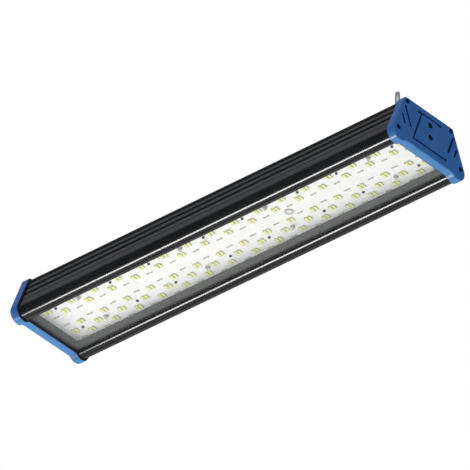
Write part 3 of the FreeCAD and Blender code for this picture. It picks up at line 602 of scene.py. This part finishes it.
def drawMoat(mesh, x):
    # top slot and the fine groove round the panel, in one outline
    grow = cap["moatWidth"]
    side = grow * math.sqrt(1 + panelLean ** 2)
    foot = cap["panelBottom"] - grow
    half = cap["topSlotWidth"] / 2
    run = cap["topSlotLength"] / 2 - half
    pen = Pen(mesh, at(0, topSlotZ + half, x))
    pen.line(at(run, topSlotZ + half, x))
    pen.arc(at(run, topSlotZ, x), -math.pi, cap["topSlotSteps"])
    pen.corners([(at(cap["panelTopWidth"] / 2 + side, panelTop, x), 0),
                 (at(cap["panelBottomWidth"] / 2 + side + grow * panelLean, foot, x), cap["panelRadius"]),
                 (at(0, foot, x), 0)], cap["panelSteps"])


def drawSideSlot(mesh, drop, x):
    upperZ = section["capHeight"] - drop
    tilt = math.radians(cap["slotLean"])
    upper = at(flankY(upperZ, cap["slotInset"]), upperZ, x)
    lower = upper - at(math.tan(tilt), 1) * (upperZ - cap["slotFoot"])
    side = at(math.cos(tilt), -math.sin(tilt)) * (cap["slotWidth"] / 2)
    pen = Pen(mesh, upper + side)
    pen.line(lower + side)
    pen.arc(lower, -math.pi, cap["slotSteps"])
    pen.line(upper - side)
    pen.arc(upper, -math.pi, cap["slotSteps"])


def loopsOf(edges):
    # a mirrored pair of separate outlines, one by one
    right = [edge for edge in edges if edge.verts[0].co.y > 0]
    return right, [edge for edge in edges if edge.verts[0].co.y < 0]


def rimsOf(mesh, draw, radius, steps, top):
    # outlines that step in round a quarter circle, up to the level of the top
    rims = []
    for step in range(steps + 1):
        turn = math.pi / 2 * step / steps
        rims.append(drawn(mesh, draw, radius * (1 - math.cos(turn)), top - radius * (1 - math.sin(turn))))
    return rims


def bridged(mesh, rims):
    for before, after in zip(rims, rims[1:]):
        bmesh.ops.bridge_loops(mesh, edges=before + after)


def buildCap(side):
    mesh = bmesh.new()
    outer, inner = cap["outer"], cap["outer"] - cap["depth"]
    rims = [drawn(mesh, drawCapOutline, 0.0, inner)]
    rims += rimsOf(mesh, drawCapOutline, cap["edgeRadius"], cap["edgeSteps"], outer)
    bridged(mesh, rims)

    # outer face with its recesses
    slots = [loop for drop in cap["slotDrops"] for loop in loopsOf(drawn(mesh, drawSideSlot, drop, outer))]
    heads = [ringOf(mesh, at(y, z, outer), cap["headRadius"]) for y, z in screwPlaces()]
    moat = drawn(mesh, drawMoat, outer)
    filled(mesh, rims[-1], moat, *slots, *heads)
    lit = set(mesh.faces)
    for loop in slots:
        sunk(mesh, loop, cap["recessDepth"])
    for loop in heads:
        sunk(mesh, loop, cap["headSeat"])

    # raised panel inside the moat
    top = outer + cap["panelRise"]
    levels = [drawn(mesh, drawPanel, 0.0, x) for x in (outer - cap["recessDepth"], outer)]
    levels += rimsOf(mesh, drawPanel, cap["panelEdge"], cap["panelEdgeSteps"], top)
    bridged(mesh, levels)
    filled(mesh, pushed(mesh, moat, -cap["recessDepth"]), levels[0])
    mouths = [ringOf(mesh, at(0, z, top), cap["holeRadius"]) for z in bracketHoles]
    filled(mesh, levels[-1], *mouths)
    for loop in mouths:
        sunk(mesh, loop, cap["holeDepth"])
    for face in mesh.faces:
        if face not in lit and face.calc_center_median().x < (outer - cap["recessStart"]) * mm:
            face.material_index = 1      # painted shade: recess walls and floors take the darker blue copy

    # inner face with the pocket and the two bosses
    pocket = drawn(mesh, drawChamber, inner)
    filled(mesh, rims[0], pocket)
    bosses = [ringOf(mesh, at(0, z, inner + cap["pocketDepth"]), cap["bossRadius"]) for z in bracketHoles]
    filled(mesh, pushed(mesh, pocket, cap["pocketDepth"]), *bosses)
    for loop in bosses:
        sunk(mesh, loop, cap["pocketDepth"])
    finishedSide("endCap", side, mesh, ["blueSkin", "blueRecess"], "blue_cap", "end_cap",
                 sharp=cap["sharp"], weighted=True)


for side in ("right", "left"):
    buildCap(side)


# Screws with pan heads and hexagon sockets

screw = dict(tipShare=0.7, tipLength=0.6, crownShare=0.45, segments=24,
             crown=((1, 0), (0.45, 0.15), (0.12, 0.5), (0, 1)))      # shares of the crown, down and inwards
capScrew = dict(radius=2.0, length=22.0, headRadius=3.3, headHeight=2.6, socket=1.73, socketDepth=1.6,
                sunk=1.2)
boardScrew = dict(radius=1.0, length=4.3, headRadius=1.9, headHeight=1.6, socket=0.75, socketDepth=0.8)


def screwTemplate(size):
    # made along +X, underside of the head at 0
    mesh = bmesh.new()
    crown = size["headHeight"] * screw["crownShare"]
    end, radius = -size["length"], size["radius"]
    outline = [(end, 0), (end, radius * screw["tipShare"]), (end + screw["tipLength"], radius), (0, radius),
               (0, size["headRadius"])]
    outline += [(size["headHeight"] - crown * down, size["headRadius"] - crown * inwards)
                for down, inwards in screw["crown"]]
    turned(mesh, outline, screw["segments"])
    rim = [edge for edge in mesh.edges if edge.is_boundary]
    socket = ringOf(mesh, at(0, 0, size["headHeight"]), size["socket"], 6)
    filled(mesh, rim, socket)
    sunk(mesh, socket, size["socketDepth"])
    return templateOf(mesh)


def buildCapScrews(side):
    seat = cap["outer"] - capScrew["sunk"] - capScrew["headHeight"]
    mesh = stamped(screwTemplate(capScrew), [Matrix.Translation(at(y, z, seat)) for y, z in screwPlaces()])
    finishedSide("capScrews", side, mesh, ["darkScrew"], "dark_screw", "end_cap_screws")


for side in ("right", "left"):
    buildCapScrews(side)


# Threaded bushes in the bracket holes

bush = dict(outer=3.9, bore=3.0, thread=0.25, pitch=1.0, segments=32)


def spunTemplate(outline, segments, second=None):
    # closed solid turned about +X, with its second finish where second(x, radius) says so
    mesh = bmesh.new()
    turned(mesh, outline, segments)
    for face in mesh.faces:
        middle = face.calc_center_median() / mm
        face.material_index = int(second is not None and second(middle.x, math.hypot(middle.y, middle.z)))
    return templateOf(mesh)


def buildBushes(side):
    depth = cap["holeDepth"]
    root = bush["bore"] + bush["thread"]
    outline = [(0, bush["outer"]), (depth, bush["outer"]), (depth, root)]
    for turn in range(int(depth / bush["pitch"])):
        outline += [(depth - (turn + 0.5) * bush["pitch"], bush["bore"]),
                    (depth - (turn + 1) * bush["pitch"], root)]
    outline += [(0, root), (0, bush["outer"])]
    base = cap["outer"] + cap["panelRise"] - depth
    mesh = stamped(spunTemplate(outline, bush["segments"]),
                   [Matrix.Translation(at(0, z, base)) for z in bracketHoles])
    finishedSide("bracketBushes", side, mesh, ["darkScrew"], "dark_screw", "bracket_inserts")


for side in ("right", "left"):
    buildBushes(side)


# LED boards and what is soldered and screwed to them

board = dict(pitch=36.6, columns=8, pairPitch=4.9, ledInner=14.3, ledOuterInset=8.5, ledOffsetInset=19.0,
             chipInner=9.5, chipOuterInset=2.4, jointGap=0.3, endGap=1.0, sideGap=0.4,
             screwStep=12.0, screwInset=19.5, rivetStep=11.5, rivetInset=18.8, screwHole=1.2, rivetHole=2.0,
             grommetX=82.5, grommetHole=4.0, holeSegments=20)
offsetColumns = [(index + 0.5) * board["pitch"] for index in range(board["columns"])]
fullColumns = [index * board["pitch"] for index in range(board["columns"])]
ledRows = (board["ledInner"], channelHalf - board["ledOuterInset"])
ledOffsetRow = channelHalf - board["ledOffsetInset"]
chipRows = (board["chipInner"], channelHalf - board["chipOuterInset"])


def pairs(columns, rows):
    return [(column + step * board["pairPitch"], side * row)
            for column in columns for row in rows for side in (-1, 1) for step in (-0.5, 0.5)]


def screwStops():
    half = board["columns"] // 2
    step = board["screwStep"]
    stops = (offsetColumns[0] + step, offsetColumns[half - 1] - step, offsetColumns[half] + step,
             offsetColumns[-1] - step)
    return [(x, side * (channelHalf - board["screwInset"])) for x in stops for side in (-1, 1)]


def rivetStops():
    stops = (offsetColumns[1] + board["rivetStep"], offsetColumns[-2] - board["rivetStep"])
    return [(x, side * (channelHalf - board["rivetInset"])) for x in stops for side in (-1, 1)]


def onBoard(template, places, turn=Matrix()):
    # copies on the lit face of a board
    return stamped(template, [Matrix.Translation(at(y, section["boardFace"], x)) @ turn for x, y in places])


def buildBoard(side):
    # plate with its drilled holes, lit side down
    mesh = bmesh.new()
    start, end = board["jointGap"] / 2, section["housingEnd"] - board["endGap"]
    half = channelHalf - board["sideGap"]
    low = section["boardFace"]
    corners = [mesh.verts.new(at(y, low, x))
               for x, y in ((start, -half), (end, -half), (end, half), (start, half))]
    outline = [mesh.edges.new((corners[index - 1], corners[index])) for index in range(4)]
    drills = [(stop, board["screwHole"]) for stop in screwStops()]
    drills += [(stop, board["rivetHole"]) for stop in rivetStops()]
    if side == "right":
        drills.append(((board["grommetX"], 0), board["grommetHole"]))
    holes = [ringOf(mesh, at(y, low, x), radius, board["holeSegments"], Matrix())
             for (x, y), radius in drills]
    filled(mesh, outline, *holes)
    thickened(mesh, (0, 0, section["boardThickness"] * mm))
    finishedSide("ledBoard", side, mesh, ["whiteMask"], "white_board", "led_board")


led = dict(width=3.8, length=7.6, height=1.4, rim=0.32, recess=0.22, recessShare=0.3, draft=0.12,
           padReach=0.8, padHeight=0.1, padShare=0.86)


def ledTemplate():
    # lit side down, foot at 0, with a solder pad at each end
    mesh = bmesh.new()
    half = Vector((led["width"], led["length"], 0)) * (mm / 2)
    rim = led["rim"] * mm
    # painted shade: the package sides and rim take the darker yellow
    faces = boxIn(mesh, -half - Vector((0, 0, led["height"] * mm)), half, 1)
    lit = min(faces, key=lambda face: face.calc_center_median().z)
    bmesh.ops.scale(mesh, verts=lit.verts, vec=(1 - 2 * led["draft"] / led["width"],
                                                1 - 2 * led["draft"] / led["length"], 1))
    bmesh.ops.inset_individual(mesh, faces=[lit], thickness=rim, depth=0)
    bmesh.ops.inset_individual(mesh, faces=[lit], thickness=rim * led["recessShare"],
                               depth=-led["recess"] * mm)
    lit.material_index = 0
    reach = led["padReach"] * mm
    wide = half.x * led["padShare"]
    for side in (-1, 1):
        near, far = sorted((side * (half.y - reach), side * (half.y + reach)))
        boxIn(mesh, Vector((-wide, near, -led["padHeight"] * mm)), Vector((wide, far, 0)), 2)
    return templateOf(mesh)


def buildLeds(side):
    places = pairs(fullColumns, ledRows) + pairs(offsetColumns, (ledOffsetRow,))
    mesh = onBoard(ledTemplate(), [(x, y) for x, y in places if x > 0])
    finishedSide("leds", side, mesh, ["phosphor", "shadedLedPackage", "solder"], "led_phosphor", "leds")


chip = dict(width=3.4, length=1.5, height=0.7, tip=0.5, tipGrow=0.04,
            padReach=0.15, padSide=0.35, padHeight=0.3)


def chipTemplate():
    # ceramic body between two tinned ends
    mesh = bmesh.new()
    half = Vector((chip["width"], chip["length"], 0)) * (mm / 2)
    height = chip["height"] * mm
    tip = chip["tip"] * mm
    grow = chip["tipGrow"] * mm
    wide = half.y + chip["padSide"] * mm
    body = Vector((half.x - tip, half.y - grow, 0))
    boxIn(mesh, Vector((-body.x, -body.y, grow - height)), body, 0)
    for side in (-1, 1):
        near, far = sorted((side * half.x, side * (half.x - tip)))
        boxIn(mesh, Vector((near, -half.y, -height)), Vector((far, half.y, 0)), 1)
        near, far = sorted((side * (half.x + chip["padReach"] * mm), side * (half.x - tip)))
        boxIn(mesh, Vector((near, -wide, -chip["padHeight"] * mm)), Vector((far, wide, 0)), 1)
    return templateOf(mesh)


def buildChips(side):
    mesh = onBoard(chipTemplate(), pairs(offsetColumns, chipRows))
    finishedSide("chips", side, mesh, ["chipBody", "chipTin"], "chip_ceramic", "resistors")


def buildBoardScrews(side):
    mesh = onBoard(screwTemplate(boardScrew), screwStops(), quarterTurn)
    finishedSide("boardScrews", side, mesh, ["darkScrew"], "dark_screw", "board_screws")


rivet = dict(flange=3.4, flangeHeight=1.0, post=2.6, postHeight=4.2, bore=1.2, boreFoot=0.2, shank=1.8,
             grip=4.3, tipShare=0.75, tipLength=0.8, edge=0.5, ease=0.15, neck=0.2, segments=24)


def buildRivets(side):
    r = rivet
    edge, ease, flangeTop, postTop = r["edge"], r["ease"], r["flangeHeight"], r["postHeight"]
    end, shank = -r["grip"], r["shank"]
    outline = [(end, 0), (end, shank * r["tipShare"]), (end + r["tipLength"], shank),
               (0, shank), (0, r["flange"]), (edge, r["flange"]),
               (flangeTop - ease, r["flange"] - ease), (flangeTop, r["flange"] - edge),
               (flangeTop, r["post"] + r["neck"]), (flangeTop + r["neck"], r["post"]),
               (postTop - edge, r["post"]), (postTop - ease, r["post"] - ease), (postTop, r["post"] - edge),
               (postTop, r["bore"]), (r["boreFoot"], r["bore"]), (0, 0)]
    # painted shade and light: the post top takes whiteNylon, the sides and flange the darker nylon
    template = spunTemplate(outline, r["segments"], lambda x, radius: x > postTop - edge)
    mesh = onBoard(template, rivetStops(), quarterTurn)
    finishedSide("pushRivets", side, mesh, ["greyNylonAndShade", "whiteNylon"], "pale_nylon", "board_rivets")


for side in ("right", "left"):
    buildBoard(side)
    buildLeds(side)
    buildChips(side)
    buildBoardScrews(side)
    buildRivets(side)


grommet = dict(outer=6.2, neck=3.8, bore=2.8, flange=0.9, dish=0.4, skin=0.6, height=4.6, segments=36,
               boreRound=((0.85, 0.06), (1, 0.3)),           # share of the flange, step out from the bore
               rimRound=((1, 0.6), (0.85, 0.2), (0.45, 0)))  # share of the flange, step in from the rim


def buildGrommet():
    g = grommet
    top = g["flange"] - g["dish"]
    low = top - g["skin"]
    outline = [(top, 0), (top, g["bore"])]
    outline += [(g["flange"] * share, g["bore"] + step) for share, step in g["boreRound"]]
    outline += [(g["flange"] * share, g["outer"] - step) for share, step in g["rimRound"]]
    outline += [(0, g["outer"]), (0, g["neck"]), (-g["height"], g["neck"]), (-g["height"], g["bore"]),
                (low, g["bore"]), (low, 0)]
    # painted shade: the flange takes the darker nylon, the skin inside the bore takes whiteNylon
    template = spunTemplate(outline, g["segments"], lambda x, radius: radius < g["bore"])
    mesh = onBoard(template, [(board["grommetX"], 0)], quarterTurn)
    finished("wireGrommet", mesh, ["greyNylonAndShade", "whiteNylon"], "pale_nylon", ["wire_grommet"])


buildGrommet()


cover = dict(thickness=2.5, bite=2.6, endGap=0.2, edge=0.25)


def buildCover():
    mesh = bmesh.new()
    end = section["housingEnd"] - cover["endGap"]
    half = channelHalf + cover["bite"]
    low = housing["coverFloor"]
    boxIn(mesh, at(-half, low, -end), at(half, low + cover["thickness"], end))
    bmesh.ops.bevel(mesh, geom=mesh.edges[:], offset=cover["edge"] * mm, affect="EDGES", segments=2,
                    profile=0.5, material=-1)
    finished("clearCover", mesh, ["clearSheet"], "clear_sheet", ["clear_cover"])


buildCover()


# Finishes of the CAD nodes that keep their own mesh
kept = dict(
    darkRubber=("end_gasket_right", "end_gasket_left", "cover_seal_near", "cover_seal_far", "gland_seal"),
    zincSteel=("eye_bolt", "eye_washer", "eye_jam_nut", "eye_lock_nut", "driver_plate_screws",
               "driver_mount_screws", "terminal_mount_screws"),
    blackNylon=("gland_body", "gland_nut", "gland_locknut"),
    plainAluminium=("driver_case", "driver_end_plate_right", "driver_end_plate_left"),
    greyNylonAndShade=("terminal_block",),
    plainBrass=("terminal_screws",),
)
for finish, nodes in kept.items():
    for node in nodes:
        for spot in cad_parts[node].material_slots:
            spot.material = finishes[finish]
print("kept nodes dressed")


# Camera, lamps, floor and background, metres

view = dict(azimuth=40.0, elevation=-35.0, lens=1300.0, sensor=36.0, frameWidth=0.5634,
            target=Vector((0, 0, 0.0685)), right=-0.00143, up=-0.03535, clipStart=0.1, clipShare=4)


def addCamera():
    turn, rise = math.radians(view["azimuth"]), math.radians(view["elevation"])
    back = Vector((math.sin(turn) * math.cos(rise), -math.cos(turn) * math.cos(rise), math.sin(rise)))
    facing = (-back).to_track_quat("-Z", "Y")
    distance = view["frameWidth"] * view["lens"] / view["sensor"]
    data = bpy.data.cameras.new("camera")
    data.lens = view["lens"]
    data.sensor_width = view["sensor"]
    data.clip_start = view["clipStart"]
    data.clip_end = view["clipShare"] * distance
    camera = bpy.data.objects.new("camera", data)
    aim = view["target"] + facing @ Vector((view["right"], view["up"], 0))
    camera.location = aim + back * distance
    camera.rotation_mode = "QUATERNION"
    camera.rotation_quaternion = facing
    bpy.context.scene.collection.objects.link(camera)
    bpy.context.scene.camera = camera


addCamera()

lampAim = Vector((0, 0, 0.03))
lamps = dict(
    key=dict(place=(-2.20, 1.30, -1.7), size=(3.0, 3.0), power=66.0, colour=(1.0, 1.0, 0.95),
             diffuse=True, glossy=False),
    lipStrip=dict(place=(-0.393, -0.30, -0.76), facing=(0, 0.351, 0.936), size=(0.215, 0.786), power=11.3,
                  diffuse=False, glossy=True),
    fill=dict(place=(0.60, -1.90, 0.35), size=(1.6, 1.6), power=3.0, colour=(0.75, 0.86, 1.0),
              diffuse=True, glossy=True),
    top=dict(place=(0.3, 0.6, 1.5), size=(0.3, 0.3), power=7.0, diffuse=True, glossy=False),
)


def addLamp(name, lamp):
    data = bpy.data.lights.new(name, "AREA")
    data.shape = "RECTANGLE"
    data.size, data.size_y = lamp["size"]
    data.energy = lamp["power"]
    data.color = lamp.get("colour", (1, 1, 1))
    made = bpy.data.objects.new(name, data)
    place = Vector(lamp["place"])
    back = -Vector(lamp.get("facing", lampAim - place)).normalized()
    across = Vector((1, 0, 0)).cross(back).normalized()
    turn = Matrix((across, back.cross(across), back)).transposed().to_4x4()
    made.matrix_world = Matrix.Translation(place) @ turn
    made.visible_camera = False
    made.visible_diffuse = lamp["diffuse"]
    made.visible_glossy = lamp["glossy"]
    bpy.context.scene.collection.objects.link(made)


for name, lamp in lamps.items():
    addLamp(name, lamp)

# light from a side rises while the cosine to its direction goes from start to full
backdrop = dict(white=rgb(1, 1, 1), bright=rgb(1.52, 1.52, 1.48), cool=rgb(0.24, 0.28, 0.36),
                above=rgb(0.33, 0.40, 0.58), dim=0.08,
                brightSide=dict(facing=(-0.68, 0.42, -0.60), start=0.15, full=0.82),
                lowerSide=dict(facing=(0, 0, -1), start=-0.05, full=0.25))
glows = dict(
    roof=dict(facing=(-0.53, 0.05, 0.847), start=0.70, full=1.0, strength=0.24),
    under=dict(facing=(-0.53, 0.77, -0.36), start=0.90, full=0.985, strength=0.36),
    lip=dict(facing=(-0.53, 0.18, -0.83), start=0.965, full=0.995, strength=0.4),
    back=dict(facing=(0.75, -0.60, 0.28), start=0.5, full=0.95, strength=0.5),
    front=dict(facing=(0.53, -0.63, -0.57), start=0.3, full=1.0, strength=0.55),
)


def addWorld():
    # white to the camera, a dim room with glows in reflections, and light mostly from below
    world = bpy.data.worlds.new("studio")
    bpy.context.scene.world = world
    f = Finish(world, "ShaderNodeOutputWorld")
    camera, glossy, through = (f.node("ShaderNodeLightPath", output="Is " + kind + " Ray")
                               for kind in ("Camera", "Glossy", "Transmission"))
    spot = f.node("ShaderNodeTexCoord", output="Generated")

    def toward(side):
        cosine = f.node("ShaderNodeVectorMath", {"operation": "DOT_PRODUCT"}, {0: spot, 1: side["facing"]},
                        "Value")
        return f.spread(cosine, side["start"], side["full"])

    lower = f.mix(toward(backdrop["brightSide"]), backdrop["cool"], backdrop["bright"])
    ambient = f.mix(toward(backdrop["lowerSide"]), backdrop["above"], lower)
    room = backdrop["dim"]
    for glow in glows.values():
        room = room + glow["strength"] * toward(glow)
    seen = f.mix(camera, room, backdrop["white"])
    direct = f.node("ShaderNodeClamp", None, {"Value": camera + glossy + through})
    colour = f.mix(direct, ambient, seen)
    f.show(f.node("ShaderNodeBackground", None, {"Color": colour, "Strength": 1.0}))


addWorld()

paleFloor = dict(height=-0.9, half=30.0, colour=rgb(0.82, 0.82, 0.82), shade=rgb(0.80, 0.80, 0.80),
                 grain=3.0, black=rgb(0, 0, 0), glow=rgb(0.42, 0.38, 0.28), roughness=0.8)


def addFloor():
    # pale from above, open from below, so that the lamp can be seen from under it
    f = newFinish("paleFloor")
    camera = f.node("ShaderNodeLightPath", output="Is Camera Ray")
    paint = f.principled({
        "Base Color": f.mix(f.noise(paleFloor["grain"]), paleFloor["colour"], paleFloor["shade"]),
        "Emission Color": f.mix(camera, paleFloor["black"], paleFloor["glow"]),
        "Emission Strength": 1.0,
        "Roughness": paleFloor["roughness"]})
    clear = f.node("ShaderNodeBsdfTransparent")
    under = f.node("ShaderNodeNewGeometry", output="Backfacing")
    material = f.show(f.node("ShaderNodeMixShader", None, {0: under, 1: paint, 2: clear}))
    mesh = bmesh.new()
    bmesh.ops.create_grid(mesh, x_segments=1, y_segments=1, size=paleFloor["half"],
                          matrix=Matrix.Translation((0, 0, paleFloor["height"])))
    data = bpy.data.meshes.new("floor")
    mesh.to_mesh(data)
    mesh.free()
    data.materials.append(material)
    floor = bpy.data.objects.new("floor", data)
    floor.visible_glossy = False
    floor.visible_diffuse = False
    floor.visible_shadow = False
    bpy.context.scene.collection.objects.link(floor)


addFloor()
bpy.context.scene.view_settings.view_transform = "Standard"
print("camera, lamps and floor placed")

print("scene ready")
